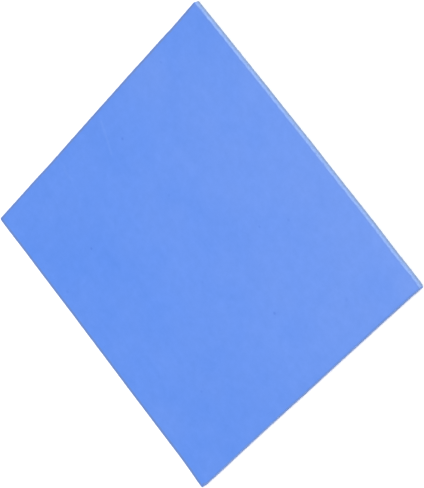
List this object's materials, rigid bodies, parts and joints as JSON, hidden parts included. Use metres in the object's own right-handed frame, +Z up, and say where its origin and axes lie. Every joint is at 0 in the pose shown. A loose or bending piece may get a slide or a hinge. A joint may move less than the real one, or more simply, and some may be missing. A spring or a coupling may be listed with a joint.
{
  "type": "thermal pad sheet",
  "caption": "Flat square sheet of blue filled silicone, laid between a hot component and its heatsink to carry heat across the gap.",
  "frame": {"origin": "middle of the underside, on the surface that the sheet lies on", "axes": "+Z up out of the upper face, through the thickness; +X and +Y along the sheet's edges; the cut edge that the picture shows best is at -Y"},
  "size_m": [0.1, 0.1, 0.002],
  "materials": {
    "pad_sheet": "satin"
  },
  "bodies": {
    "root": {"pad_sheet": "pad_sheet"}
  },
  "joints": []
}
